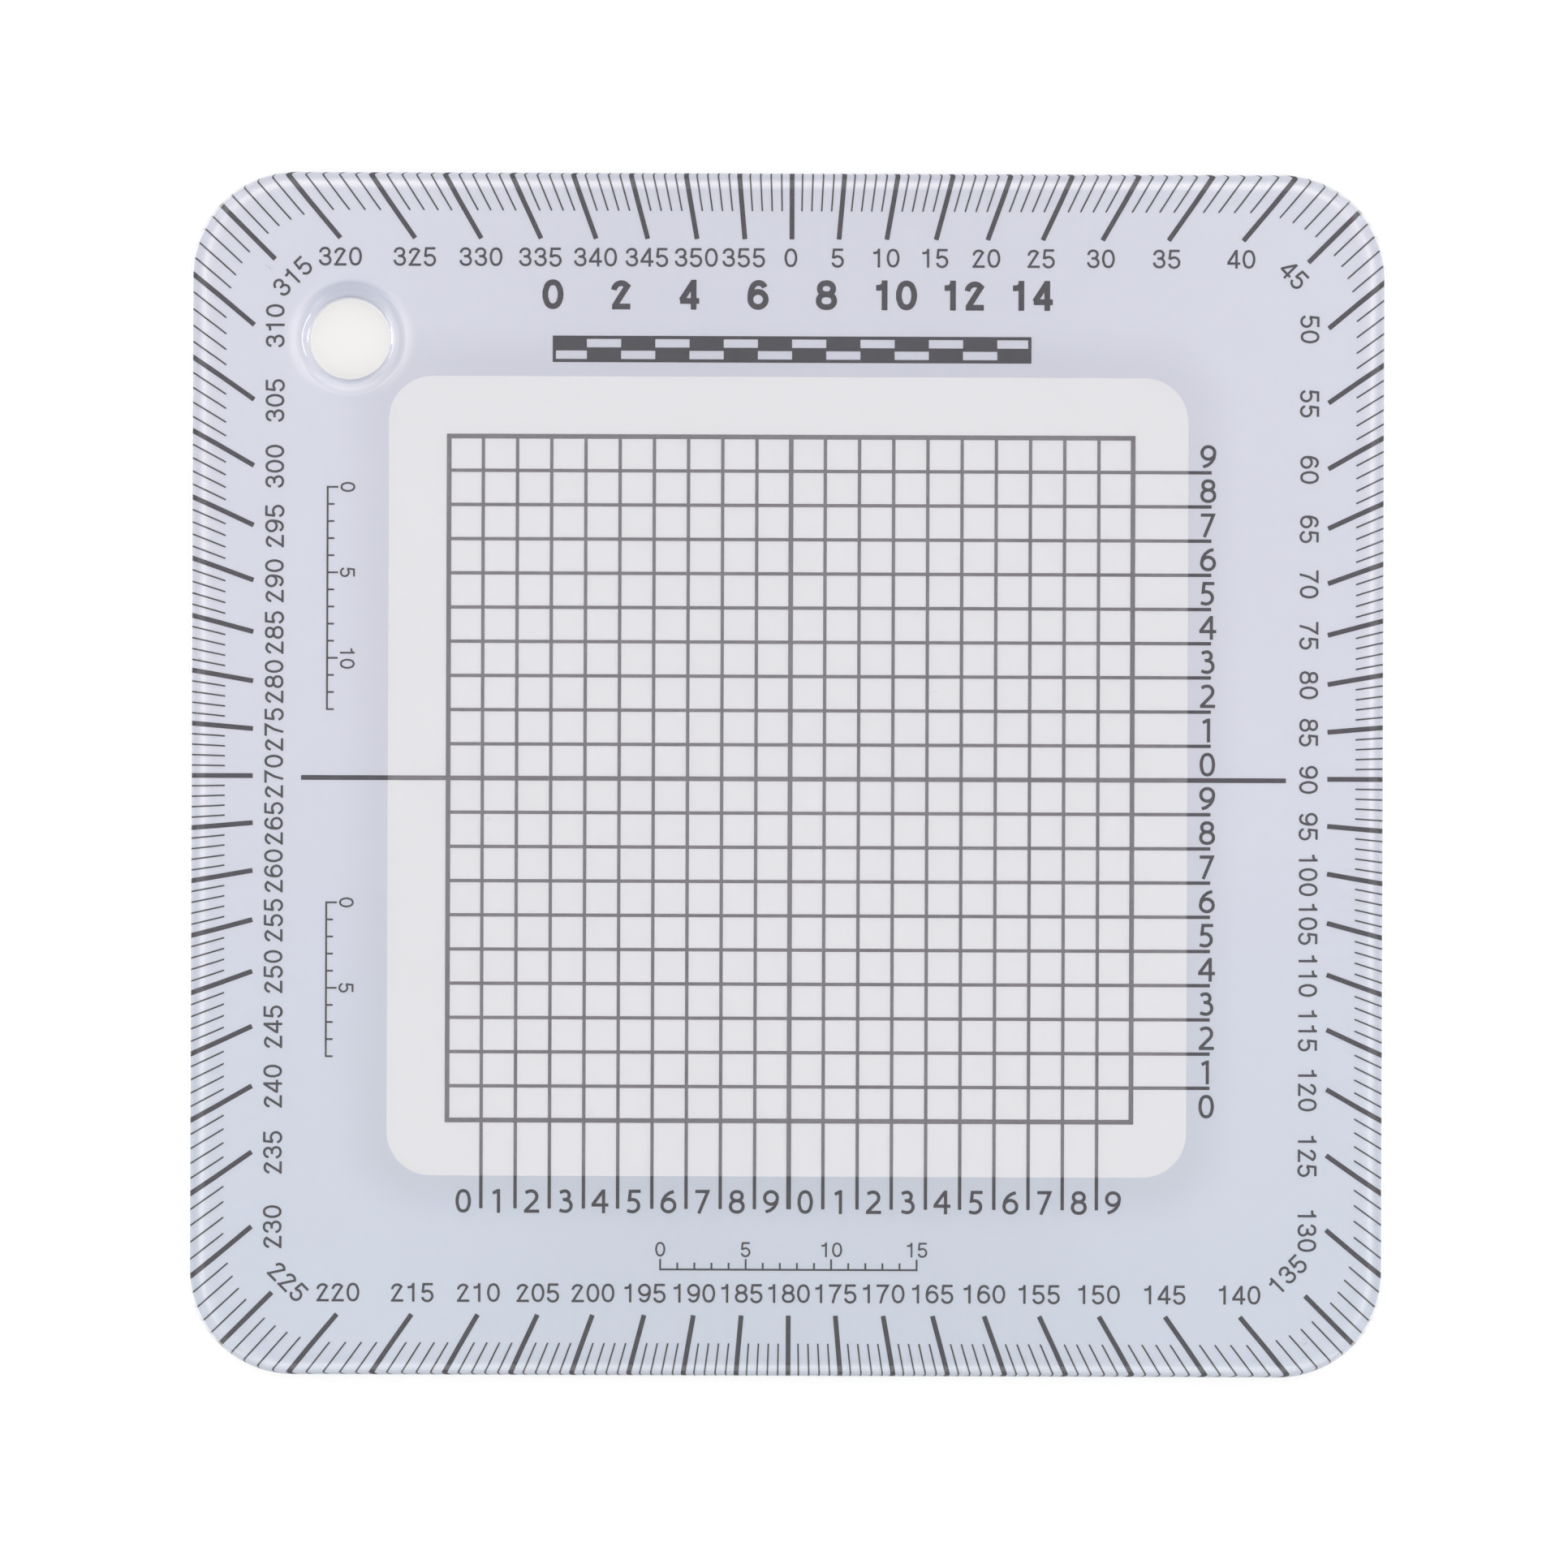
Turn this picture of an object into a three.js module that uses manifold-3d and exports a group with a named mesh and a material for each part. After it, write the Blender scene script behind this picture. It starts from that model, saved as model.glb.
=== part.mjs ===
// Map coordinate reader: a clear plastic card that is laid on a 1:50 000 map.
// A grid of 100 metre squares fills its window, and 360 one-degree bearing marks
// run in from its rim. Both are printed on the underside, so that they touch the map.
// Millimetres. The card lies flat with its printed face on Z = 0, its middle over the
// origin, zero degrees towards +Y and 90 degrees towards +X.
import * as THREE from 'three';
import { mergeVertices } from 'three/addons/utils/BufferGeometryUtils.js';
import Module from 'manifold-3d';

const wasm = await Module();
wasm.setup();

// Map grid: ten squares are one kilometre on the ground.
const gridSquare = 2.0;
const squaresPerKilometre = 10;
const kilometresPerSide = 2;
const fineLineWidth = 0.2;
const heavyLineWidth = 0.28;

// Window: the pale square that the grid stands in.
const windowMargin = 3.425;
const windowCornerRadius = 2.6;
const windowSeam = 0.05;
const windowShift = { x: 0.02, y: -0.125 };

// Grid lines run on past the window to the figures beside and below it.
const rightTail = 1.32;
const lowerTail = 1.87;

// Band between the window and the long bearing marks, where the figures stand.
const sideBand = 7.995;
const endBand = 8.045;
const centreLineStop = { left: 2.82, right: 2.42 };

// Bearing marks: one for each degree, and a long heavy one every five.
const degreesInCircle = 360;
const degreesPerLongMark = 5;
const longMarkLead = 1.64;
const longMarkWidth = 0.285;
const shortMarkWidth = 0.094;
const longMarkCornerRadius = 4.2;
const shortMarkCornerRadius = 6.45;

// Card: cut to its outline past the inner ends of the short marks.
const sideMarkLength = 1.865;
const endMarkLength = 2.015;
const cardCornerRadius = 6.2;
const plateThickness = 1.4;

// Rims of the plate's upper face: it sinks over the width of a rim, and its edge is
// rounded off.
const edgeRounding = 0.16;
const outerRim = { width: 1.65, sink: 0.094 };
const lanyardRim = { width: 1.15, sink: 0.3 };
const rimSteps = 6;

// Lanyard hole, in the corner between 315 degrees and the window.
const lanyardBore = 4.68;
const lanyardFromSide = 9.3;
const lanyardFromEnd = 9.73;

// Printed layers: the films lie against the plate, and the ink lies under the films.
const inkThickness = 0.05;
const filmThickness = 0.05;
const inkInFilmShare = 0.5;
const printShift = { x: 0.17, y: -0.26 };
const bearingLift = 0.095;

const arcSteps = 6;
const cutOverrun = 1.0;

// Places and sizes that follow from these
const squaresPerSide = squaresPerKilometre * kilometresPerSide;
const gridSide = gridSquare * squaresPerSide;
const windowSide = gridSide + 2 * windowMargin;
const longMarkFrame = {
  width: windowSide + 2 * sideBand,
  height: windowSide + 2 * endBand,
  radius: longMarkCornerRadius,
};
const shortMarkFrame = {
  width: longMarkFrame.width + 2 * longMarkLead,
  height: longMarkFrame.height + 2 * longMarkLead,
  radius: shortMarkCornerRadius,
};
const cardWidth = shortMarkFrame.width + 2 * sideMarkLength;
const cardHeight = shortMarkFrame.height + 2 * endMarkLength;
const cardReach = Math.hypot(cardWidth, cardHeight);
const filmTop = inkThickness + filmThickness;
const plateTop = filmTop + plateThickness;
const lanyardCentre = {
  x: lanyardFromSide - cardWidth / 2,
  y: cardHeight / 2 - lanyardFromEnd,
};
const windowEdge = {
  right: windowShift.x + windowSide / 2,
  bottom: windowShift.y - windowSide / 2,
};

const clearPlastic = new THREE.MeshStandardMaterial({
  color: 0xeef0f8,
  roughness: 0.06,
  metalness: 0,
  transparent: true,
  opacity: 0.35,
});
const tintedFilm = new THREE.MeshStandardMaterial({
  color: 0xd5d8e8,
  roughness: 0.35,
  metalness: 0,
});
const matteFilm = new THREE.MeshStandardMaterial({
  color: 0xe6e7e8,
  roughness: 0.7,
  metalness: 0,
});
const printingInk = new THREE.MeshStandardMaterial({
  color: 0x544f56,
  roughness: 0.6,
  metalness: 0,
});

// Closed mesh to solid, with shared vertices merged.
function toSolid(geometry) {
  geometry.deleteAttribute('normal');
  geometry.deleteAttribute('uv');
  const merged = mergeVertices(geometry);
  const mesh = new wasm.Mesh({
    numProp: 3,
    vertProperties: new Float32Array(merged.attributes.position.array),
    triVerts: new Uint32Array(merged.index.array),
  });
  return new wasm.Manifold(mesh);
}

function toMesh(name, solid, material) {
  const { vertProperties, triVerts } = solid.getMesh();
  const geometry = new THREE.BufferGeometry();
  geometry.setAttribute('position', new THREE.BufferAttribute(vertProperties, 3));
  geometry.setIndex(new THREE.BufferAttribute(triVerts, 1));
  geometry.computeVertexNormals();
  const mesh = new THREE.Mesh(geometry, material);
  mesh.name = name;
  return mesh;
}

// Rectangle with round corners, walked anticlockwise from its lower right corner.
function roundedRectangle(width, height, radius, centre = { x: 0, y: 0 }) {
  const shape = new THREE.Shape();
  const reachX = width / 2 - radius;
  const reachY = height / 2 - radius;
  const corners = [
    [reachX, -reachY],
    [reachX, reachY],
    [-reachX, reachY],
    [-reachX, -reachY],
  ];
  corners.forEach(([x, y], index) => {
    const start = (index - 1) * (Math.PI / 2);
    shape.absarc(centre.x + x, centre.y + y, radius, start, start + Math.PI / 2, false);
  });
  shape.closePath();
  return shape;
}

function rectangle(left, lower, right, upper) {
  return new THREE.Shape([
    new THREE.Vector2(left, lower),
    new THREE.Vector2(right, lower),
    new THREE.Vector2(right, upper),
    new THREE.Vector2(left, upper),
  ]);
}

// Circle in four quarters, so that each quarter gets the full number of steps.
function circle(radius, centre) {
  const path = new THREE.Path();
  for (let quarter = 0; quarter < 4; quarter += 1) {
    const start = quarter * (Math.PI / 2);
    path.absarc(centre.x, centre.y, radius, start, start + Math.PI / 2, false);
  }
  path.closePath();
  return path;
}

function prism(shape, bottom, top) {
  const geometry = new THREE.ExtrudeGeometry(shape, {
    depth: top - bottom,
    bevelEnabled: false,
    curveSegments: arcSteps,
  });
  geometry.translate(0, 0, bottom);
  return toSolid(geometry);
}

function slab(width, height, bottom, top) {
  const geometry = new THREE.BoxGeometry(width, height, top - bottom);
  geometry.translate(0, 0, (bottom + top) / 2);
  return toSolid(geometry);
}

function cardOutline() {
  return roundedRectangle(cardWidth, cardHeight, cardCornerRadius);
}

function lanyardOutline() {
  return new THREE.Shape(circle(lanyardBore / 2, lanyardCentre).getPoints(arcSteps));
}

function lanyardCut() {
  return prism(lanyardOutline(), -cutOverrun, plateTop + cutOverrun);
}

// Height of a rim over its foot, at a distance from its edge.
function rimHeight(rim, inset) {
  const overEdge = Math.max(edgeRounding - inset, 0);
  const overRim = 1 - inset / rim.width;
  return Math.sqrt(edgeRounding ** 2 - overEdge ** 2) + rim.sink * (1 - overRim ** 2);
}

// Extrusion up to the top of the plate, whose upper end closes in over the width of a rim,
// or flares out by as much for a direction of -1. Its lower end is shaped alike.
function rimmedPrism(outline, rim, bottom, direction) {
  const rise = edgeRounding + rim.sink;
  const foot = plateTop - rise;
  const geometry = new THREE.ExtrudeGeometry(outline, {
    depth: foot - bottom,
    bevelEnabled: true,
    bevelThickness: rise,
    bevelSize: direction * rim.width,
    bevelOffset: -direction * rim.width,
    bevelSegments: rimSteps,
    curveSegments: arcSteps,
  });
  geometry.translate(0, 0, bottom);
  const { position } = geometry.attributes;
  for (let index = 0; index < position.count; index += 1) {
    const climb = Math.min((position.getZ(index) - foot) / rise, 1);
    if (climb > 0) {
      const inset = rim.width * (1 - Math.sqrt(1 - climb ** 2));
      position.setZ(index, foot + rimHeight(rim, inset));
    }
  }
  return toSolid(geometry);
}

// Clear plate, rimmed on its upper face alone, so that its lower rim is cut away.
function cardPlate() {
  const width = cardWidth + 2 * cutOverrun;
  const height = cardHeight + 2 * cutOverrun;
  return rimmedPrism(cardOutline(), outerRim, filmTop, 1)
    .intersect(slab(width, height, filmTop, plateTop + cutOverrun))
    .subtract(rimmedPrism(lanyardOutline(), lanyardRim, filmTop - cutOverrun, -1));
}

// Distance from the middle of a frame with round corners to its edge, at a bearing.
function reachOfFrame(frame, bearing) {
  const across = Math.abs(Math.sin(bearing));
  const along = Math.abs(Math.cos(bearing));
  const flatX = frame.width / 2 - frame.radius;
  const flatY = frame.height / 2 - frame.radius;
  const toSide = frame.width / 2 / across;
  const toEnd = frame.height / 2 / along;
  if (toSide * along <= flatY) {
    return toSide;
  }
  if (toEnd * across <= flatX) {
    return toEnd;
  }
  const middle = across * flatX + along * flatY;
  return middle + Math.sqrt(middle ** 2 - flatX ** 2 - flatY ** 2 + frame.radius ** 2);
}

// One bearing mark, from its frame outwards past the rim of the card.
function bearingMark(degree) {
  const isLong = degree % degreesPerLongMark === 0;
  const width = isLong ? longMarkWidth : shortMarkWidth;
  const bearing = THREE.MathUtils.degToRad(degree);
  const start = reachOfFrame(isLong ? longMarkFrame : shortMarkFrame, bearing);
  const height = inkThickness + inkInFilmShare * filmThickness;
  const geometry = new THREE.BoxGeometry(width, cardReach, height);
  geometry.translate(0, start + cardReach / 2, height / 2);
  geometry.rotateZ(-bearing);
  geometry.translate(printShift.x, printShift.y + bearingLift, 0);
  return toSolid(geometry);
}

// Tinted film of the border, with the bearing marks raised on its underside.
function bearingScale() {
  const marks = [];
  for (let degree = 0; degree < degreesInCircle; degree += 1) {
    marks.push(bearingMark(degree));
  }
  const film = slab(cardReach, cardReach, inkThickness, filmTop);
  const windowCut = prism(
    roundedRectangle(windowSide, windowSide, windowCornerRadius, windowShift),
    -cutOverrun,
    plateTop,
  );
  return wasm.Manifold.union([film, ...marks])
    .intersect(prism(cardOutline(), 0, filmTop))
    .subtract(windowCut)
    .subtract(lanyardCut());
}

// Matte film that fills the window, clear of the tinted film by a seam.
function windowFilm() {
  const side = windowSide - 2 * windowSeam;
  const outline = roundedRectangle(side, side, windowCornerRadius - windowSeam, windowShift);
  return prism(outline, inkThickness, filmTop).subtract(lanyardCut());
}

// Half the width of the grid line with this number, counted from the left or the bottom.
function halfLineWidth(index) {
  const isHeavy = index % (squaresPerSide / 2) === 0;
  return (isHeavy ? heavyLineWidth : fineLineWidth) / 2;
}

// Grid: a square with its cells cut out, so that heavy lines are left round the outside
// and through the middle, and fine lines between them. All but the outer lines run on
// to the figures, and the level middle line runs on to the bearings at both ends.
function gridInk() {
  const half = gridSide / 2;
  const end = half + heavyLineWidth / 2;
  const lineAt = (index) => index * gridSquare - half;
  const cells = [];
  for (let column = 0; column < squaresPerSide; column += 1) {
    const left = lineAt(column) + halfLineWidth(column);
    const right = lineAt(column + 1) - halfLineWidth(column + 1);
    for (let row = 0; row < squaresPerSide; row += 1) {
      const lower = lineAt(row) + halfLineWidth(row);
      const upper = lineAt(row + 1) - halfLineWidth(row + 1);
      cells.push(rectangle(left, lower, right, upper));
    }
  }
  const tailX = windowEdge.right - printShift.x + rightTail;
  const tailY = windowEdge.bottom - printShift.y - lowerTail;
  const tails = [];
  for (let index = 1; index < squaresPerSide; index += 1) {
    const near = lineAt(index) - halfLineWidth(index);
    const far = lineAt(index) + halfLineWidth(index);
    const isMiddle = 2 * index === squaresPerSide;
    const right = isMiddle ? longMarkFrame.width / 2 - centreLineStop.right : tailX;
    tails.push(rectangle(half, near, right, far));
    tails.push(rectangle(near, tailY, far, -half));
  }
  const middle = heavyLineWidth / 2;
  const left = centreLineStop.left - longMarkFrame.width / 2;
  tails.push(rectangle(left, -middle, -half, middle));
  return slab(2 * end, 2 * end, 0, inkThickness)
    .subtract(prism(cells, -cutOverrun, cutOverrun))
    .add(prism(tails, 0, inkThickness))
    .translate(printShift.x, printShift.y, 0)
    .subtract(lanyardCut());
}

const group = new THREE.Group();
group.add(toMesh('card_plate', cardPlate(), clearPlastic));
group.add(toMesh('bearing_scale', bearingScale(), tintedFilm));
group.add(toMesh('window_film', windowFilm(), matteFilm));
group.add(toMesh('grid_ink', gridInk(), printingInk));

export default group;
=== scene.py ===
"""Clear map coordinate reader: a plastic card with a reading grid, bearing marks and plain figures."""

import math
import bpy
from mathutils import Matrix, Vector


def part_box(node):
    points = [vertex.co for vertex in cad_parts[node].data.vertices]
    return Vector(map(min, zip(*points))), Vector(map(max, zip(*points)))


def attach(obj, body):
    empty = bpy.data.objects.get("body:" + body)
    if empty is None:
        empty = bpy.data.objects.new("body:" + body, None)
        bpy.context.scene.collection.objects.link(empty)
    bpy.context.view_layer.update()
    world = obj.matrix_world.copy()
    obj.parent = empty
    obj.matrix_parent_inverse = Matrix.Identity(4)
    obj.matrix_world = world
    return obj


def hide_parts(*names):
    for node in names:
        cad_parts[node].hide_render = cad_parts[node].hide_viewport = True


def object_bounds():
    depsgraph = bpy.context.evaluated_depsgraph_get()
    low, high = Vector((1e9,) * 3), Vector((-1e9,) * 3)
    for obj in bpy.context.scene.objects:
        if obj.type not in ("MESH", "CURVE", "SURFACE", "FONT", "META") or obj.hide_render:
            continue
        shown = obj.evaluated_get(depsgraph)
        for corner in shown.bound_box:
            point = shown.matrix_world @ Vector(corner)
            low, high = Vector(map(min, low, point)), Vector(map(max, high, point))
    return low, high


bl_info = {
    "name": "Map Coordinate Reader",
    "version": (1, 0, 0),
    "blender": (4, 5, 0),
    "location": "View3D > Sidebar > Reader",
    "description": "Builds a clear map coordinate reader with its films, its ink and a plain stage",
    "category": "Add Mesh",
}

import bmesh
import bpy
from bpy.props import (
    FloatProperty,
    FloatVectorProperty,
    IntProperty,
    PointerProperty,
)
from bpy.types import Operator, Panel, PropertyGroup
from mathutils import Matrix, Vector

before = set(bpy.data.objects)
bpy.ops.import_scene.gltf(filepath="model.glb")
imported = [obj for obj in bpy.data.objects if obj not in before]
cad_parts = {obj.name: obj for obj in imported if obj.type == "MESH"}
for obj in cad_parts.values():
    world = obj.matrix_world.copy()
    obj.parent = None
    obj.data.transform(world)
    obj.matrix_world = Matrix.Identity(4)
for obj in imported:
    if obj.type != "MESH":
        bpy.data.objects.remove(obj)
CAD_LOW, CAD_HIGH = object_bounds()
PLATE_LOW, PLATE_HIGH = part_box("card_plate")
SCALE_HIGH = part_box("bearing_scale")[1]
WINDOW_LOW, WINDOW_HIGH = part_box("window_film")
GRID_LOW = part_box("grid_ink")[0]

MM = 0.001
MICRON = 0.000001
QUARTER_TURN = math.pi / 2
FULL_CIRCLE = 360
WHITE = (1.0, 1.0, 1.0)
BODY = "root"


def length(name, description, millimetres):
    """A length property with its default given in millimetres."""
    return FloatProperty(
        name=name,
        description=description,
        default=millimetres * MM,
        unit="LENGTH",
        precision=5,
    )


def place(name, description, x, y):
    """A place on the card, with its default given in millimetres."""
    return FloatVectorProperty(
        name=name,
        description=description,
        default=(x * MM, y * MM),
        size=2,
        unit="LENGTH",
        precision=5,
    )


def colour(name, description, red, green, blue):
    """A colour property in scene linear values."""
    return FloatVectorProperty(
        name=name,
        description=description,
        default=(red, green, blue),
        size=3,
        subtype="COLOR",
        min=0.0,
        max=1.0,
    )


def share(name, description, value, highest=1.0):
    """A plain number property."""
    return FloatProperty(name=name, description=description, default=value, min=0.0, max=highest)


class PlateSettings(PropertyGroup):
    """Sizes and finish of the clear plate."""

    corner_radius: length("Corner radius", "Radius of the four corners seen from above", 6.2)
    corner_steps: IntProperty(name="Corner steps", description="Facets in a corner", default=28)
    edge_rounding: length("Edge rounding", "Radius of the upper edges", 0.16)
    edge_steps: IntProperty(name="Edge steps", description="Facets round an edge", default=7)
    rim_width: length("Rim width", "How far in the upper face sinks towards its edge", 1.65)
    rim_sink: length("Rim sink", "How deep it sinks there", 0.094)
    rim_steps: IntProperty(name="Rim steps", description="Facets across a rim", default=10)
    bore_radius: length("Bore radius", "Radius of the lanyard hole", 2.34)
    bore_place: place("Bore place", "Middle of the lanyard hole", -25.625, 25.395)
    bore_steps: IntProperty(name="Bore steps", description="Facets round the hole", default=112)
    bore_rim_width: length("Bore rim width", "How far out the upper face sinks towards the hole", 1.15)
    bore_rim_sink: length("Bore rim sink", "How deep it sinks there", 0.3)
    tint: colour("Tint", "Colour of light that has passed the plate", 0.936, 0.941, 0.957)
    roughness: share("Roughness", "Roughness of the polished faces", 0.03)
    edge_matt: share("Edge matt", "Share of the light that the cut edge scatters", 0.5)
    # The matt white rounding on the left and right sides is a painted highlight.
    side_matt: share("Side matt", "The same on the rounded edge of the left and right sides", 0.7)


class FilmSettings(PropertyGroup):
    """Sizes and finish of the two films under the plate."""

    clearance: length("Clearance", "Gap between a film and what lies on it", 0.01)
    window_corner_radius: length("Window corner radius", "Radius of the window's corners", 2.6)
    window_seam: length("Window seam", "Gap between the two films", 0.004)
    border_tint: colour("Border tint", "Colour of light that has passed the border", 0.834, 0.838, 0.912)
    front_tint: colour("Front tint", "Colour of light past the front of the border", 0.779, 0.819, 0.893)
    # The darkening of the border beside the window is painted shade.
    shade_depth: share("Shade depth", "How much darker the border is beside the window", 0.07)
    shade_width: length("Shade width", "How far that darker zone reaches out", 3.6)
    middle_shade: share("Middle shade", "How much darker the border is halfway along an end", 0.035)
    window_tone: colour("Window tone", "Colour of the milky window film", 0.81, 0.76, 0.80)
    window_veil: share("Window veil", "Share of the window film that hides what is behind", 0.14)


class InkSettings(PropertyGroup):
    """Sizes and finish of the printed marks."""

    print_place: place("Print place", "Middle of the print on the card", 0.17, -0.26)
    bearing_lift: length("Bearing lift", "How far the bearings' middle lies above that of the print", 0.095)
    clearance: length("Clearance", "Gap between the ink and the film on it", 0.005)
    long_width: length("Long mark width", "Width of a five degree mark", 0.285)
    short_width: length("Short mark width", "Width of a one degree mark", 0.094)
    long_frame: place("Long mark frame", "Frame that the five degree marks start from", 62.84, 62.94)
    short_frame: place("Short mark frame", "Frame that the one degree marks start from", 66.12, 66.22)
    long_corner: length("Long mark corner", "Corner radius of the five degree frame", 4.2)
    short_corner: length("Short mark corner", "Corner radius of the one degree frame", 6.45)
    tone: colour("Ink tone", "Colour of the printing ink", 0.036, 0.027, 0.038)
    pale_tone: colour("Pale ink tone", "Colour of the ink where it is thin", 0.079, 0.063, 0.081)


class FigureSettings(PropertyGroup):
    """Sizes and places of the printed figures."""

    bearing_height: length("Bearing figure height", "Height of a bearing figure", 1.10)
    bearing_stroke: length("Bearing figure stroke", "Stroke width of a bearing figure", 0.142)
    bearing_pitch: length("Bearing figure pitch", "Step from figure to figure", 0.885)
    bearing_reach: length("Bearing reach", "Where a bearing meets its row of numbers", 31.4)
    row_top: length("Top row", "Distance of the top row from the middle", 30.49)
    row_right: length("Right row", "Distance of the right row from the middle", 30.32)
    row_bottom: length("Bottom row", "Distance of the bottom row from the middle", 30.09)
    row_left: length("Left row", "Distance of the left row from the middle", 30.20)
    grid_height: length("Grid figure height", "Height of a grid figure", 1.39)
    grid_stroke: length("Grid figure stroke", "Stroke width of a grid figure", 0.19)
    grid_square: length("Grid square", "Side of one grid square", 2.0)
    column_right: length("Right column", "Distance of the right column from the middle", 24.40)
    row_below: length("Row below", "Distance of the row below the grid", 24.73)


class ScaleSettings(PropertyGroup):
    """Sizes and places of the plain scale bar and rules."""

    bar_length: length("Bar length", "Length of the scale bar", 28.0)
    bar_height: length("Bar height", "Height of the scale bar", 1.55)
    bar_line: length("Bar line", "Line width of the scale bar", 0.19)
    bar_place: place("Bar place", "Middle of the scale bar", 0.03, 25.12)
    number_height: length("Number height", "Height of the numbers over the bar", 1.75)
    number_stroke: length("Number stroke", "Stroke width of those numbers", 0.34)
    number_pitch: length("Number pitch", "Step from figure to figure", 1.36)
    number_place: place("Number place", "Middle of the row of numbers", 0.03, 28.31)
    rule_line: length("Rule line", "Line width of the small rules", 0.11)
    rule_number_height: length("Rule number height", "Height of a number on a small rule", 0.86)
    rule_number_stroke: length("Rule number stroke", "Stroke width of those numbers", 0.11)


class StageSettings(PropertyGroup):
    """Floor, lamps and camera."""

    floor_side: length("Floor side", "Side of the floor", 3000.0)
    floor_tone: colour("Floor tone", "Colour of the floor", 0.95, 0.95, 0.95)
    floor_glow: share("Floor glow", "Share of the floor that is plain white to the camera", 0.55)
    # The darker floor in the lanyard hole is painted shade.
    bore_floor: colour("Bore floor", "Colour of the shaded floor in the lanyard hole", 0.77, 0.74, 0.72)
    world_light: share("World light", "Strength of the light from all round", 1.155, 10.0)
    lamp_power: share("Lamp power", "Power of a lamp whose portion is 1, in watts", 1.0, 1000.0)
    lamp_height: length("Lamp height", "Height of the lamps over the floor", 1550.0)
    camera_height: length("Camera height", "Height of the camera over the floor", 600.0)
    camera_place: place("Camera place", "Point on the card under the camera", -0.184, -0.547)
    camera_turn: FloatProperty(
        name="Camera turn",
        description="Turn of the camera about its line of sight",
        default=math.radians(0.2),
        subtype="ANGLE",
    )
    camera_lens: FloatProperty(name="Camera lens", description="Focal length in mm", default=235.35)


class ReaderSettings(PropertyGroup):
    """All settings of the map coordinate reader."""

    plate: PointerProperty(type=PlateSettings)
    film: PointerProperty(type=FilmSettings)
    ink: PointerProperty(type=InkSettings)
    figures: PointerProperty(type=FigureSettings)
    scales: PointerProperty(type=ScaleSettings)
    stage: PointerProperty(type=StageSettings)


# Modelling helpers


def deselect_all():
    """Leaves nothing selected or active, so that a new primitive stands alone."""
    for chosen in list(bpy.context.selected_objects):
        chosen.select_set(False)
    bpy.context.view_layer.objects.active = None


def make_active(piece):
    """Selects one piece and makes it the active one."""
    deselect_all()
    piece.select_set(True)
    bpy.context.view_layer.objects.active = piece


def apply_place(piece):
    """Puts a piece's place, turn and size into its mesh."""
    make_active(piece)
    bpy.ops.object.transform_apply(location=True, rotation=True, scale=True)


def add_box(name, low, high):
    """A box between two corners, as its own object."""
    deselect_all()
    low, high = Vector(low), Vector(high)
    bpy.ops.mesh.primitive_cube_add(size=1.0, location=(low + high) / 2, scale=high - low)
    piece = bpy.context.object
    piece.name = name
    apply_place(piece)
    return piece


def edit_mode():
    """Opens the active piece for editing."""
    bpy.ops.object.mode_set(mode="EDIT")


def object_mode():
    """Ends the editing."""
    bpy.ops.object.mode_set(mode="OBJECT")


def select_all():
    """In edit mode, selects everything."""
    bpy.ops.mesh.select_all(action="SELECT")


def choose(piece, kind, test):
    """In edit mode, selects the vertices, edges or faces that pass a test."""
    bpy.ops.mesh.select_mode(type=kind)
    bpy.ops.mesh.select_all(action="DESELECT")
    shape = bmesh.from_edit_mesh(piece.data)
    parts = {"VERT": shape.verts, "EDGE": shape.edges, "FACE": shape.faces}[kind]
    for part in parts:
        part.select = test(part)
    shape.select_flush_mode()
    bmesh.update_edit_mesh(piece.data)


UPRIGHT_SHARE = 0.5
FACES_UP = 0.9


def is_upright(edge):
    """True for an edge that runs along Z."""
    run = edge.verts[1].co - edge.verts[0].co
    return abs(run.z) > UPRIGHT_SHARE * run.length


def rounded_slab(name, low, high, radius, steps):
    """A flat slab with round corners, shaped from a box."""
    piece = add_box(name, low, high)
    edit_mode()
    choose(piece, "EDGE", is_upright)
    bpy.ops.mesh.bevel(offset=radius, offset_type="OFFSET", segments=steps, affect="EDGES")
    object_mode()
    return piece


def rod(name, middle, radius, low, high, steps):
    """An upright round rod, extruded from a disc."""
    deselect_all()
    bpy.ops.mesh.primitive_circle_add(
        vertices=steps, radius=radius, fill_type="NGON", location=(middle[0], middle[1], low)
    )
    piece = bpy.context.object
    piece.name = name
    apply_place(piece)
    edit_mode()
    select_all()
    extrude_up(high - low)
    object_mode()
    return piece


def extrude_up(rise):
    """In edit mode, extrudes what is selected along Z."""
    bpy.ops.mesh.extrude_region_move(TRANSFORM_OT_translate={"value": (0.0, 0.0, rise)})


def turn_faces_out(piece):
    """Recalculates the normals of a closed shape."""
    make_active(piece)
    edit_mode()
    select_all()
    bpy.ops.mesh.normals_make_consistent(inside=False)
    object_mode()


def combine(piece, tool, operation):
    """Cuts, joins or trims a piece with a tool, which is then removed."""
    make_active(piece)
    modifier = piece.modifiers.new("combine", "BOOLEAN")
    modifier.operation = operation
    modifier.solver = "EXACT"
    modifier.object = tool
    bpy.ops.object.modifier_apply(modifier=modifier.name)
    bpy.data.objects.remove(tool, do_unlink=True)


def join(name, parts):
    """Joins parts into one piece that sits at the origin."""
    deselect_all()
    for part in parts:
        part.select_set(True)
    bpy.context.view_layer.objects.active = parts[0]
    bpy.ops.object.transform_apply(location=True, rotation=True, scale=True)
    bpy.ops.object.join()
    piece = bpy.context.object
    piece.name = name
    return piece


def finish_piece(piece, slot, *replaced):
    """Gives a piece the finish of its slot, puts it in its body, and hides the solids that it stands for.
    """
    piece.data.name = piece.name
    piece.data.materials.clear()
    piece.data.materials.append(finish_of(slot))
    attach(piece, BODY)
    if replaced:
        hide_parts(*replaced)


def settings():
    """The settings of the reader in this scene."""
    return bpy.context.scene.reader_settings


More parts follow.
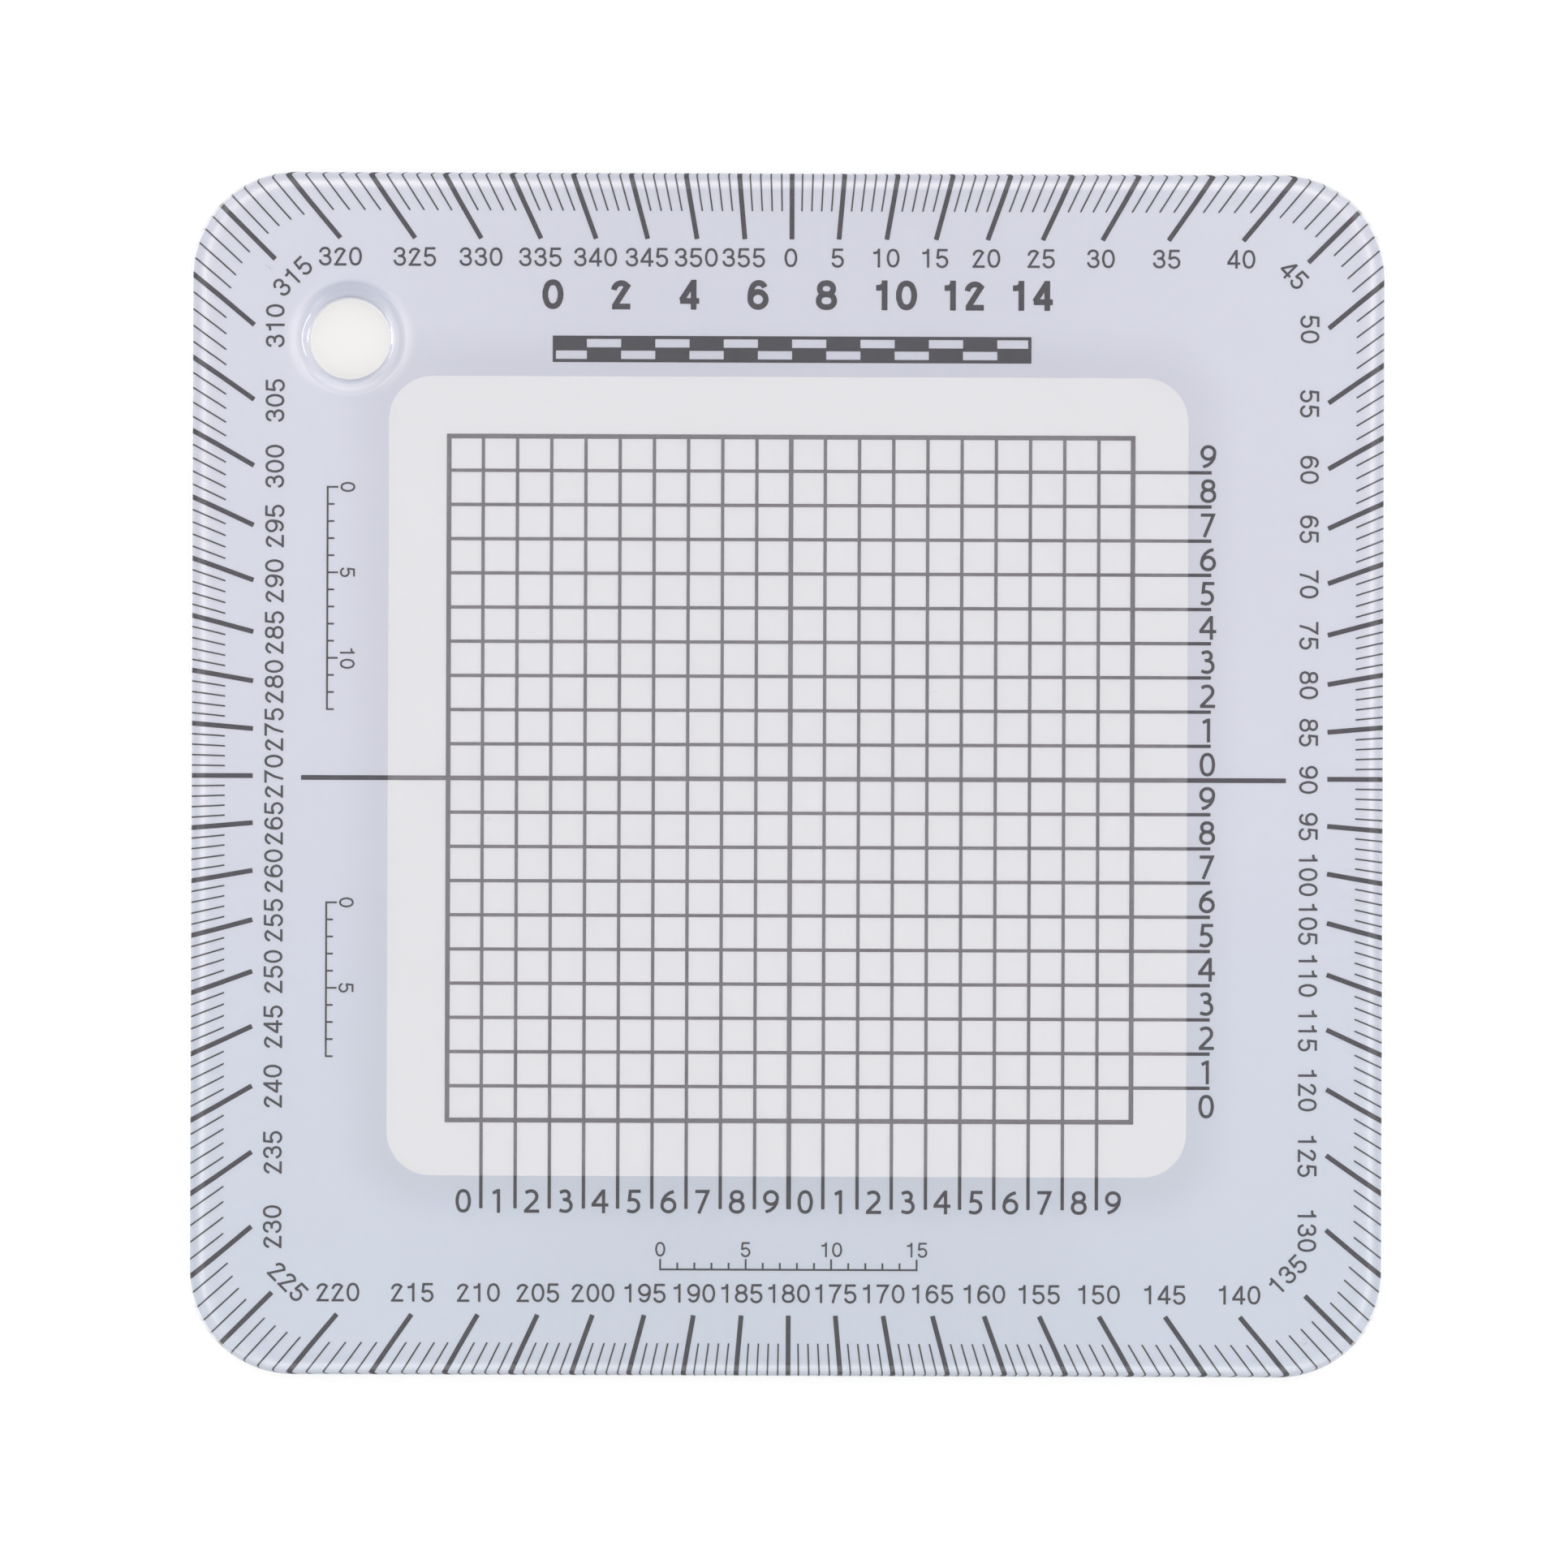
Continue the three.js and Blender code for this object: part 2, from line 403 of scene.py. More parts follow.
def outline_slab(name, low_z, high_z):
    """A slab of the card's own outline between two heights."""
    plate = settings().plate
    low = (PLATE_LOW.x, PLATE_LOW.y, low_z)
    high = (PLATE_HIGH.x, PLATE_HIGH.y, high_z)
    return rounded_slab(name, low, high, plate.corner_radius, plate.corner_steps)


# Material helpers


def new_material(name):
    """A material with its node tree and its Principled shader."""
    material = bpy.data.materials.new(name)
    material.use_nodes = True
    tree = material.node_tree
    return material, tree, tree.nodes["Principled BSDF"]


def set_inputs(shader, values):
    """Sets a shader's own sockets, by their names."""
    for name, value in values.items():
        shader.inputs[name].default_value = value


def add_node(tree, kind, links=(), **values):
    """Adds a node, sets its values and links sockets into it."""
    node = tree.nodes.new(kind)
    for key, value in values.items():
        setattr(node, key, value)
    for socket, source in links:
        if isinstance(source, bpy.types.NodeSocket):
            tree.links.new(source, node.inputs[socket])
        else:
            node.inputs[socket].default_value = source
    return node


def card_coordinates(tree, offset=(0.0, 0.0, 0.0)):
    """Object coordinates, moved by an offset."""
    texture = add_node(tree, "ShaderNodeTexCoord")
    links = [("Vector", texture.outputs["Object"]), ("Location", offset)]
    mapping = add_node(tree, "ShaderNodeMapping", links)
    return mapping.outputs["Vector"]


def math_node(tree, operation, first, second=0.0):
    """One sum on numbers."""
    return add_node(tree, "ShaderNodeMath", [(0, first), (1, second)], operation=operation).outputs[0]


def noise(tree, vector, grain, detail=2.0, distortion=0.0):
    """A noise pattern whose features have the given size in metres."""
    links = [("Vector", vector), ("Scale", 1.0 / grain), ("Detail", detail), ("Distortion", distortion)]
    return add_node(tree, "ShaderNodeTexNoise", links).outputs["Fac"]


def spread(tree, value, low, high, to_low, to_high):
    """Maps a number smoothly from one range to another."""
    names = ("Value", "From Min", "From Max", "To Min", "To Max")
    links = list(zip(names, (value, low, high, to_low, to_high)))
    node = add_node(tree, "ShaderNodeMapRange", links, interpolation_type="SMOOTHSTEP")
    return node.outputs["Result"]


def mix_colours(tree, share_of_second, first, second, blend="MIX"):
    """Mixes two colours."""
    links = [(0, share_of_second)]
    for socket, source in ((6, first), (7, second)):
        is_link = isinstance(source, bpy.types.NodeSocket)
        links.append((socket, source if is_link else (*source, 1.0)))
    return add_node(tree, "ShaderNodeMix", links, data_type="RGBA", blend_type=blend).outputs[2]


def bump(tree, height, distance, strength):
    """A bump whose height is given in metres."""
    links = [("Height", height), ("Distance", distance), ("Strength", strength)]
    return add_node(tree, "ShaderNodeBump", links).outputs["Normal"]


def scaled(tone, factor):
    """A colour made lighter or darker."""
    return tuple(min(1.0, part * factor) for part in tone)


def round_box(tree, low, high, radius):
    """Distance from the edge of a box with round corners, and how the nearest edge faces.

    The distance is positive outside. The other two numbers are how much the edge faces
    a side, from 0 to 1, and the place along Y, counted from the middle.
    """
    middle = (low + high) / 2
    half = (high - low) / 2
    where = card_coordinates(tree, (-middle.x, -middle.y, 0.0))
    parts = add_node(tree, "ShaderNodeSeparateXYZ", [("Vector", where)])
    beyond = []
    for axis, reach in (("X", half.x), ("Y", half.y)):
        far = math_node(tree, "ABSOLUTE", parts.outputs[axis])
        past = math_node(tree, "SUBTRACT", far, reach - radius)
        beyond.append(math_node(tree, "MAXIMUM", past, 0.0))
    corner = add_node(tree, "ShaderNodeCombineXYZ", [("X", beyond[0]), ("Y", beyond[1])])
    run = add_node(tree, "ShaderNodeVectorMath", [(0, corner.outputs["Vector"])], operation="LENGTH")
    distance = math_node(tree, "SUBTRACT", run.outputs["Value"], radius)
    slant = math_node(tree, "DIVIDE", beyond[0], run.outputs["Value"])
    return distance, math_node(tree, "MULTIPLY", slant, slant), parts.outputs["Y"]


# The painted bands of light are a little stronger in red and weaker in blue, so that their shade is bluish.
RIM_POWERS = (("Red", 1.15), ("Green", 1.02), ("Blue", 0.80))
BRIGHTEST_BAND = 2.0

# Points of millimetres from the edge and brightness of the painted light and shade, for the sides, the back
# and the front.
CARD_BANDS = (
    ((0.0, 1.0), (0.26, 1.0), (0.34, 0.965), (0.46, 0.95), (0.54, 0.965), (0.60, 1.01), (0.66, 1.06),
     (0.74, 1.11), (0.84, 1.12), (0.90, 1.105), (1.0, 1.07), (1.12, 1.04), (1.3, 1.01), (1.5, 1.0),
     (2.0, 1.0)),
    ((0.0, 1.0), (0.2, 0.975), (0.36, 0.98), (0.42, 1.01), (0.5, 1.085),
     (0.58, 1.15), (0.64, 1.16), (0.72, 1.13), (0.82, 1.06), (0.95, 1.01), (1.1, 1.0), (2.0, 1.0)),
    ((0.0, 0.9), (0.2, 0.97), (0.28, 1.02), (0.38, 1.04), (0.48, 1.08),
     (0.56, 1.075), (0.66, 1.06), (0.76, 1.02), (0.86, 0.99), (1.2, 0.99), (2.0, 1.0)),
)
BORE_BANDS = (
    ((0.0, 1.08), (0.3, 1.08), (0.45, 1.06), (0.58, 1.01), (0.7, 0.97), (0.8, 0.985), (0.9, 1.05),
     (0.98, 1.105), (1.1, 1.11), (1.2, 1.08), (1.32, 1.04), (1.5, 1.01), (1.7, 1.0), (2.0, 1.0)),
    ((0.0, 0.68), (0.3, 0.75), (0.45, 0.84), (0.6, 0.85), (0.75, 0.79), (0.95, 0.78),
     (1.06, 0.86), (1.18, 0.965), (1.4, 0.985), (2.0, 1.0)),
    ((0.0, 0.82), (0.28, 0.84), (0.4, 0.95), (0.52, 1.02), (0.62, 1.1), (0.72, 1.11),
     (0.82, 1.06), (0.94, 1.01), (1.2, 0.985), (1.8, 1.0), (2.0, 1.0)),
)


def band_curve(tree, distance, points):
    """Brightness of the light under a rim, given in points of millimetres and brightness."""
    reach = points[-1][0]
    node = add_node(tree, "ShaderNodeFloatCurve")
    share_of_reach = math_node(tree, "DIVIDE", distance, reach * MM)
    tree.links.new(math_node(tree, "MINIMUM", share_of_reach, 1.0), node.inputs["Value"])
    curve = node.mapping.curves[0]
    for number, (at, brightness) in enumerate(points):
        spot = (at / reach, brightness / BRIGHTEST_BAND)
        if number < len(curve.points):
            curve.points[number].location = spot
        else:
            curve.points.new(*spot)
    node.mapping.update()
    return math_node(tree, "MULTIPLY", node.outputs["Value"], BRIGHTEST_BAND)


def rim_light(tree, distance, aside, along, curves):
    """Bands of painted light and shade, as a rim throws them through the film, by the way its edge faces.
    """
    side, back, front = (band_curve(tree, distance, points) for points in curves)
    is_back = math_node(tree, "GREATER_THAN", along, 0.0)
    ends = add_node(tree, "ShaderNodeMix", [(0, is_back), (2, front), (3, back)], data_type="FLOAT")
    links = [(0, aside), (2, ends.outputs[0]), (3, side)]
    light = add_node(tree, "ShaderNodeMix", links, data_type="FLOAT").outputs[0]
    parts = [(part, math_node(tree, "POWER", light, power)) for part, power in RIM_POWERS]
    return add_node(tree, "ShaderNodeCombineColor", parts).outputs["Color"]


def card_edge(tree):
    """Distance in from the card's outline, and how its nearest edge faces."""
    plate = settings().plate
    distance, aside, along = round_box(tree, PLATE_LOW, PLATE_HIGH, plate.corner_radius)
    return math_node(tree, "MULTIPLY", distance, -1.0), aside, along


def bore_edge(tree):
    """Distance out from the lanyard hole, and how its nearest edge faces."""
    plate = settings().plate
    middle = Vector((*plate.bore_place, 0.0))
    reach = Vector((plate.bore_radius, plate.bore_radius, 0.0))
    return round_box(tree, middle - reach, middle + reach, plate.bore_radius)


# Fibres: place and size of their patterns, and where each pattern fades out.
FIBRE_PLACE = (5 * MM, 3 * MM, 0.0)
FIBRE_CURL = 0.9 * MM
FIBRE_SPACING = 7 * MM
FIBRE_EDGES = (0.006, 0.018)
FIBRE_REACH = (0.04, 0.06)


def fibres(tree):
    """Short curled fibres, one here and there: bits of the level lines of a noise."""
    where = card_coordinates(tree, FIBRE_PLACE)
    curl = noise(tree, where, FIBRE_CURL, detail=1.0, distortion=1.5)
    off_line = math_node(tree, "ABSOLUTE", math_node(tree, "SUBTRACT", curl, 0.5))
    line = spread(tree, off_line, *FIBRE_EDGES, 1.0, 0.0)
    nearby = spread(tree, spots(tree, where, FIBRE_SPACING), *FIBRE_REACH, 1.0, 0.0)
    return math_node(tree, "MULTIPLY", line, nearby)


def spots(tree, where, spacing):
    """Distance to the nearest of many scattered points, as a share of their spacing."""
    links = [("Vector", where), ("Scale", 1.0 / spacing)]
    return add_node(tree, "ShaderNodeTexVoronoi", links).outputs["Distance"]


# Clear plastic: its patterns, its handling marks, how its edges scatter, and the painted shade on its front
# edge and round the hole.
PLASTIC_IOR = 1.49
PLASTIC_CLOUD = 18 * MM
PLASTIC_DRIFT = (0.985, 1.015)
SPECK_SPACING = 9 * MM
SPECK_EDGES = (0.006, 0.016)
SPECK_COVER = 0.5
FIBRE_COVER = 0.35
DIRT = (0.30, 0.30, 0.33)
# Painted shade: tone and strength of the dark laid on the front edge and round the hole's edge.
PAINTED_SHADE = (0.2, 0.2, 0.22)
FRONT_PAINTED_SHADE = 0.6
FRONT_PAINTED_SHADE_REACH = (0.07 * MM, 0.17 * MM)
BORE_PAINTED_SHADE = 0.3
BORE_PAINTED_SHADE_REACH = (0.08 * MM, 0.2 * MM)
WALL_REACH = (0.01 * MM, 0.06 * MM)
ROUNDING_REACH = (0.1 * MM, 0.2 * MM)
SMUDGE_GRAIN = 7 * MM
SMUDGE_EDGES = (0.35, 0.75)
SMUDGE_SHARES = (0.6, 1.8)
WAVE_GRAIN = 8 * MM
WAVE_HEIGHT = 8 * MICRON
WAVE_STRENGTH = 0.4


def make_clear_plastic(name):
    """Polished clear plastic with a faint tint, matt walls, a slight waviness and fine handling marks;
    painted shade darkens its front edge and the hole's edge, and a white matt rounding on the left and
    right sides is a painted highlight.
    """
    plate = settings().plate
    material, tree, shader = new_material(name)
    where = card_coordinates(tree)
    set_inputs(shader, {"IOR": PLASTIC_IOR})
    cloud = noise(tree, where, PLASTIC_CLOUD, detail=3.0)
    tint = mix_colours(tree, cloud, *(scaled(plate.tint, factor) for factor in PLASTIC_DRIFT))
    dust = spread(tree, spots(tree, where, SPECK_SPACING), *SPECK_EDGES, 1.0, 0.0)
    for mark, cover in ((dust, SPECK_COVER), (fibres(tree), FIBRE_COVER)):
        tint = mix_colours(tree, math_node(tree, "MULTIPLY", mark, cover), tint, DIRT)
    inward, aside, along = card_edge(tree)
    outward, bore_aside = bore_edge(tree)[:2]
    wall = spread(tree, math_node(tree, "MINIMUM", inward, outward), *WALL_REACH, plate.edge_matt, 0.0)
    # Painted highlight: the rounding on the left and right sides turns matt and white.
    rounding = spread(tree, inward, *ROUNDING_REACH, plate.side_matt, 0.0)
    matt = math_node(tree, "MAXIMUM", wall, math_node(tree, "MULTIPLY", rounding, aside))
    tree.links.new(math_node(tree, "SUBTRACT", 1.0, matt), shader.inputs["Transmission Weight"])
    # Painted shade along the front edge and round the lanyard hole's edge, fading where the edge faces a
    # side.
    at_edge = spread(tree, inward, *FRONT_PAINTED_SHADE_REACH, FRONT_PAINTED_SHADE, 0.0)
    at_front = math_node(tree, "MULTIPLY", at_edge, math_node(tree, "LESS_THAN", along, 0.0))
    at_bore = spread(tree, outward, *BORE_PAINTED_SHADE_REACH, BORE_PAINTED_SHADE, 0.0)
    for shade, sideways in ((at_front, aside), (at_bore, bore_aside)):
        painted_shade_share = math_node(tree, "MULTIPLY", shade, math_node(tree, "SUBTRACT", 1.0, sideways))
        tint = mix_colours(tree, painted_shade_share, tint, PAINTED_SHADE)
    # White where matt: the real matt walls, and the painted highlight on the side rounding.
    tree.links.new(mix_colours(tree, matt, tint, WHITE), shader.inputs["Base Color"])
    smudge = noise(tree, where, SMUDGE_GRAIN, detail=4.0, distortion=0.6)
    smooth, smudged = (plate.roughness * factor for factor in SMUDGE_SHARES)
    tree.links.new(spread(tree, smudge, *SMUDGE_EDGES, smooth, smudged), shader.inputs["Roughness"])
    wave = noise(tree, where, WAVE_GRAIN, detail=1.0)
    tree.links.new(bump(tree, wave, WAVE_HEIGHT, WAVE_STRENGTH), shader.inputs["Normal"])
    return material


# Border film: its slow drift of tone, and where its front and middle zones fade out.
BORDER_CLOUD = 30 * MM
BORDER_DRIFT = (0.985, 0.985, 0.985)
FRONT_REACH = (-33 * MM, 5 * MM)
MIDDLE_REACH = (8 * MM, 27 * MM)


def make_border_film(name):
    """Thin lavender coat, darker and bluer at the front, with painted shade beside the window and the
    painted light and shade of the rims.
    """
    film = settings().film
    material, tree, shader = new_material(name)
    where = card_coordinates(tree)
    looks = {"Transmission Weight": 1.0, "IOR": 1.0, "Roughness": 0.0, "Specular IOR Level": 0.0}
    set_inputs(shader, looks)
    parts = add_node(tree, "ShaderNodeSeparateXYZ", [("Vector", where)])
    front = spread(tree, parts.outputs["Y"], *FRONT_REACH, 1.0, 0.0)
    tint = mix_colours(tree, front, tuple(film.border_tint), tuple(film.front_tint))
    drift = mix_colours(tree, noise(tree, where, BORDER_CLOUD), BORDER_DRIFT, WHITE)
    tint = mix_colours(tree, 1.0, tint, drift, "MULTIPLY")
    # Painted shade beside the window, fading out over the shade width; the middle of each end is also made
    # darker.
    distance = round_box(tree, WINDOW_LOW, WINDOW_HIGH, film.window_corner_radius)[0]
    shade = spread(tree, distance, 0.0, film.shade_width, film.shade_depth, 0.0)
    aside = math_node(tree, "ABSOLUTE", parts.outputs["X"])
    middle = spread(tree, aside, *MIDDLE_REACH, film.middle_shade, 0.0)
    tint = mix_colours(tree, math_node(tree, "ADD", shade, middle), tint, (0.0, 0.0, 0.0))
    for edge, bands in ((card_edge(tree), CARD_BANDS), (bore_edge(tree), BORE_BANDS)):
        tint = mix_colours(tree, 1.0, tint, rim_light(tree, *edge, bands), "MULTIPLY")
    tree.links.new(tint, shader.inputs["Base Color"])
    return material


VEIL_CLOUD = 12 * MM
VEIL_DRIFT = (0.985, 1.01)
VEIL_ROUGHNESS = 0.7


def make_window_film(name):
    """Milky matte coat that lays a thin veil over the grid."""
    film = settings().film
    material, tree, shader = new_material(name)
    cloud = noise(tree, card_coordinates(tree), VEIL_CLOUD, detail=3.0)
    tone = mix_colours(tree, cloud, *(scaled(film.window_tone, factor) for factor in VEIL_DRIFT))
    tree.links.new(tone, shader.inputs["Base Color"])
    set_inputs(shader, {"Roughness": VEIL_ROUGHNESS, "Specular IOR Level": 0.0, "Alpha": film.window_veil})
    return material


# Ink: size of its grain, what the grain does to cover and roughness, and its relief.
INK_GRAIN = 0.09 * MM
INK_GRAIN_EDGES = (0.3, 0.7)
INK_COVER_EDGES = (0.42, 0.72)
INK_ROUGHNESS = (0.55, 0.8)
INK_GLOSS = 0.3
INK_RELIEF = 3 * MICRON
INK_RELIEF_STRENGTH = 0.6


def make_printing_ink(name):
    """Dark grey screen printing ink with the uneven cover of a fine screen."""
    ink = settings().ink
    material, tree, shader = new_material(name)
    grain = noise(tree, card_coordinates(tree), INK_GRAIN)
    cover = spread(tree, grain, *INK_COVER_EDGES, 0.0, 1.0)
    tone = mix_colours(tree, cover, tuple(ink.tone), tuple(ink.pale_tone))
    tree.links.new(tone, shader.inputs["Base Color"])
    tree.links.new(spread(tree, grain, *INK_GRAIN_EDGES, *INK_ROUGHNESS), shader.inputs["Roughness"])
    set_inputs(shader, {"Specular IOR Level": INK_GLOSS})
    tree.links.new(bump(tree, grain, INK_RELIEF, INK_RELIEF_STRENGTH), shader.inputs["Normal"])
    return material


FINISH_NAME = "{}_finish"
MATERIAL_MAKERS = {
    "clear_plastic": make_clear_plastic,
    "tinted_film": make_border_film,
    "matte_film": make_window_film,
    "printing_ink": make_printing_ink,
}


def finish_of(slot):
    """The material of a slot, made the first time that it is asked for."""
    made = bpy.data.materials.get(FINISH_NAME.format(slot))
    return made or MATERIAL_MAKERS[slot](FINISH_NAME.format(slot))


# Figures, drawn as a pen draws them. Heights and widths are shares of the figure height.

FINE_STROKE_SHARE = 0.12
START_SHARE = 0.1
MERGE_SHARE = 0.004
BEND_STEP = 22.0


class Pen:
    """Draws one stroke in edit mode, by extruding and spinning a single vertex."""

    def __init__(self, height, stroke, x, y, heading):
        self.height = height
        self.squeeze = (1.0 - stroke / height) / (1.0 - FINE_STROKE_SHARE)
        self.spot = self.place(x, y)
        self.heading = math.radians(heading)
        deselect_all()
        bpy.ops.mesh.primitive_plane_add(size=START_SHARE * height, location=self.spot)
        self.piece = bpy.context.object
        apply_place(self.piece)
        edit_mode()
        bpy.ops.mesh.select_mode(type="VERT")
        select_all()
        bpy.ops.mesh.merge(type="CENTER")

    def place(self, x, y):
        """Turns shares into a place; the very top and foot stay where they are."""
        if 0.0 < y < 1.0:
            y = 0.5 + (y - 0.5) * self.squeeze
        return Vector((x * self.squeeze, y - 0.5, 0.0)) * self.height

    def run_to(self, x, y):
        """A straight stretch to a place."""
        goal = self.place(x, y)
        step = goal - self.spot
        bpy.ops.mesh.extrude_region_move(TRANSFORM_OT_translate={"value": tuple(step)})
        self.heading = math.atan2(step.y, step.x)
        self.spot = goal

    def aim(self, heading):
        """A corner to a new heading."""
        self.heading = math.radians(heading)

    def bend(self, radius, degrees):
        """A round stretch, to the left for a positive angle."""
        side = math.copysign(radius * self.squeeze * self.height, degrees)
        normal = Vector((-math.sin(self.heading), math.cos(self.heading), 0.0))
        middle = self.spot + normal * side
        turn = math.radians(degrees)
        steps = max(2, math.ceil(abs(degrees) / BEND_STEP))
        axis = (0.0, 0.0, -math.copysign(1.0, turn))
        bpy.ops.mesh.spin(steps=steps, angle=abs(turn), center=middle, axis=axis)
        self.spot = middle + Matrix.Rotation(turn, 3, "Z") @ (self.spot - middle)
        self.heading += turn

    def finish(self, stroke, thickness):
        """Gives the line its height and its stroke width."""
        select_all()
        bpy.ops.mesh.remove_doubles(threshold=MERGE_SHARE * self.height)
        select_all()
        extrude_up(thickness)
        select_all()
        bpy.ops.mesh.normals_make_consistent(inside=False)
        object_mode()
        wall = self.piece.modifiers.new("stroke", "SOLIDIFY")
        wall.thickness = stroke
        wall.offset = 0.0
        wall.use_even_offset = True
        bpy.ops.object.modifier_apply(modifier=wall.name)
        turn_faces_out(self.piece)
        return self.piece


def oval(half_width, half_height, tight):
    """The bends of an oval from its right side, heading up; its narrow ends have the tight radius."""
    longer, shorter = max(half_width, half_height), min(half_width, half_height)
    rise = longer - tight
    wide = (shorter**2 + rise**2 - tight**2) / (2 * (shorter - tight))
    lean = math.degrees(math.atan2(rise, wide - shorter))
    if half_height >= half_width:
        side, side_radius, end_radius = lean, wide, tight
    else:
        side, side_radius, end_radius = 90.0 - lean, tight, wide
    end = 180.0 - 2 * side
    return (
        ("bend", side_radius, side),
        ("bend", end_radius, end),
        ("bend", side_radius, 2 * side),
        ("bend", end_radius, end),
        ("bend", side_radius, side),
    )


def half_turned(strokes):
    """The same strokes, turned upside down."""
    turned = []
    for x, y, heading, moves in strokes:
        flipped = []
        for move in moves:
            if move[0] == "to":
                flipped.append(("to", -move[1], 1.0 - move[2]))
            elif move[0] == "aim":
                flipped.append(("aim", move[1] + 180.0))
            else:
                flipped.append(move)
        turned.append((-x, 1.0 - y, heading + 180.0, tuple(flipped)))
    return tuple(turned)


# Each stroke is a start, a heading and its moves: a straight run to a place, a bend of a radius and an
# angle, or a corner to a new heading.
BEARING_SIX = (
    (0.282, 0.335, 90, oval(0.282, 0.278, 0.272)),
    (-0.283, 0.33, 90, (
        ("to", -0.283, 0.45), ("bend", 0.815, -25), ("bend", 0.252, -65), ("bend", 0.235, -72),
    )),
)
BEARING_FIGURES = {
    "0": ((0.285, 0.5, 90, oval(0.285, 0.44, 0.235)),),
    "1": (
        (-0.26, 0.775, 0, (("to", -0.15, 0.775), ("bend", 0.2, 80))),
        (0.05, 1.0, -90, (("to", 0.05, 0.0),)),
    ),
    "2": (
        (-0.272, 0.66, 86, (("bend", 0.273, -139), ("to", -0.17, 0.195), ("bend", 0.21, 45))),
        (-0.335, 0.06, 0, (("to", 0.33, 0.06),)),
    ),
    "3": (
        (-0.262, 0.70, 90, (
            ("bend", 0.24, -90), ("to", 0.02, 0.94), ("bend", 0.2075, -180), ("to", -0.1, 0.525),
        )),
        (0.0, 0.525, 0, (
            ("to", 0.04, 0.525), ("bend", 0.2325, -180), ("to", -0.01, 0.06), ("bend", 0.27, -88),
        )),
    ),
    "4": (
        (-0.35, 0.27, 0, (("to", 0.35, 0.27),)),
        (-0.305, 0.285, 0, (("to", 0.115, 0.935),)),
        (0.145, 1.0, -90, (("to", 0.145, 0.0),)),
    ),
    "5": (
        (0.285, 0.94, 180, (("to", -0.21, 0.94), ("to", -0.262, 0.475))),
        (-0.226, 0.487, 50, (("bend", 0.277, -308),)),
    ),
    "6": BEARING_SIX,
    "7": ((-0.35, 0.94, 0, (("to", 0.255, 0.94), ("aim", 233), ("bend", 2.05, 29))),),
    "8": (
        (0.245, 0.735, 90, oval(0.245, 0.205, 0.2)),
        (0.285, 0.295, 90, oval(0.285, 0.235, 0.23)),
    ),
    "9": half_turned(BEARING_SIX),
}

GRID_SIX = (
    (0.275, 0.33, 90, oval(0.275, 0.272, 0.27)),
    (-0.272, 0.31, 90, (("to", -0.272, 0.35), ("bend", 0.585, -82))),
)
GRID_FIGURES = {
    "0": ((0.267, 0.5, 90, oval(0.267, 0.44, 0.22)),),
    "1": (
        (-0.2, 0.83, 27, (("to", 0.045, 0.955),)),
        (0.045, 1.0, -90, (("to", 0.045, 0.0),)),
    ),
    "2": (
        (-0.262, 0.852, 38, (
            ("bend", 0.4, -38), ("bend", 0.24, -90), ("bend", 0.28, -43), ("to", -0.27, 0.08),
        )),
        (-0.325, 0.065, 0, (("to", 0.325, 0.065),)),
    ),
    "3": (
        (-0.255, 0.864, 35, (
            ("bend", 0.42, -35), ("to", 0.006, 0.935), ("bend", 0.188, -180), ("to", -0.13, 0.559),
        )),
        (-0.04, 0.559, 0, (("to", -0.02, 0.559), ("bend", 0.25, -180), ("bend", 0.5, -30))),
    ),
    "4": (
        (-0.365, 0.342, 0, (("to", 0.36, 0.342),)),
        (-0.315, 0.352, 0, (("to", 0.12, 0.94),)),
        (0.153, 1.0, -90, (("to", 0.153, 0.0),)),
    ),
    "5": ((0.275, 0.935, 180, (
        ("to", -0.165, 0.935), ("to", -0.205, 0.565), ("to", -0.09, 0.582),
        ("aim", 5), ("bend", 0.263, -185), ("bend", 0.5, -28),
    )),),
    "6": GRID_SIX,
    "7": ((-0.315, 0.935, 0, (("to", 0.225, 0.935), ("to", -0.165, 0.0))),),
    "8": (
        (0.232, 0.742, 90, oval(0.232, 0.195, 0.19)),
        (0.275, 0.3, 90, oval(0.275, 0.245, 0.24)),
    ),
    "9": half_turned(GRID_SIX),
}


def draw_figure(strokes, height, stroke, thickness):
    """Draws one figure and unites its strokes."""
    figure = None
    for x, y, heading, moves in strokes:
        pen = Pen(height, stroke, x, y, heading)
        draw = {"to": pen.run_to, "aim": pen.aim, "bend": pen.bend}
        for kind, *values in moves:
            draw[kind](*values)
        drawn = pen.finish(stroke, thickness)
        if figure is None:
            figure = drawn
        else:
            combine(figure, drawn, "UNION")
    return figure


class FigureSet:
    """Figures of one size, each drawn once and copied to where it is printed."""

    def __init__(self, shapes, height, stroke, pitch):
        low_z, high_z = ink_layer()
        self.pitch = pitch
        self.low_z = low_z
        self.masters = {}
        for sign, strokes in shapes.items():
            self.masters[sign] = draw_figure(strokes, height, stroke, high_z - low_z)
        self.copies = []

    def print_number(self, number, x, y, turn=0.0):
        """Prints a number with its middle at a place, turned about it."""
        signs = str(number)
        middle = print_point(x, y, self.low_z)
        spin = Matrix.Rotation(turn, 4, "Z")
        for index, sign in enumerate(signs):
            along = (index - (len(signs) - 1) / 2) * self.pitch
            printed = self.masters[sign].copy()
            printed.data = self.masters[sign].data.copy()
            bpy.context.collection.objects.link(printed)
            printed.matrix_world = Matrix.Translation(middle) @ spin @ Matrix.Translation((along, 0.0, 0.0))
            self.copies.append(printed)

    def finish(self, name):
        """Joins the copies into one piece and removes the masters."""
        piece = join(name, self.copies)
        for master in self.masters.values():
            bpy.data.objects.remove(master, do_unlink=True)
        return piece


def ink_layer():
    """Lowest and highest level of the ink under the films."""
    return GRID_LOW.z, SCALE_HIGH.z / 2 - settings().ink.clearance


def print_point(x, y, z=0.0):
    """A place that is measured from the middle of the print."""
    middle = settings().ink.print_place
    return Vector((middle[0] + x, middle[1] + y, z))


TINY = 1e-9


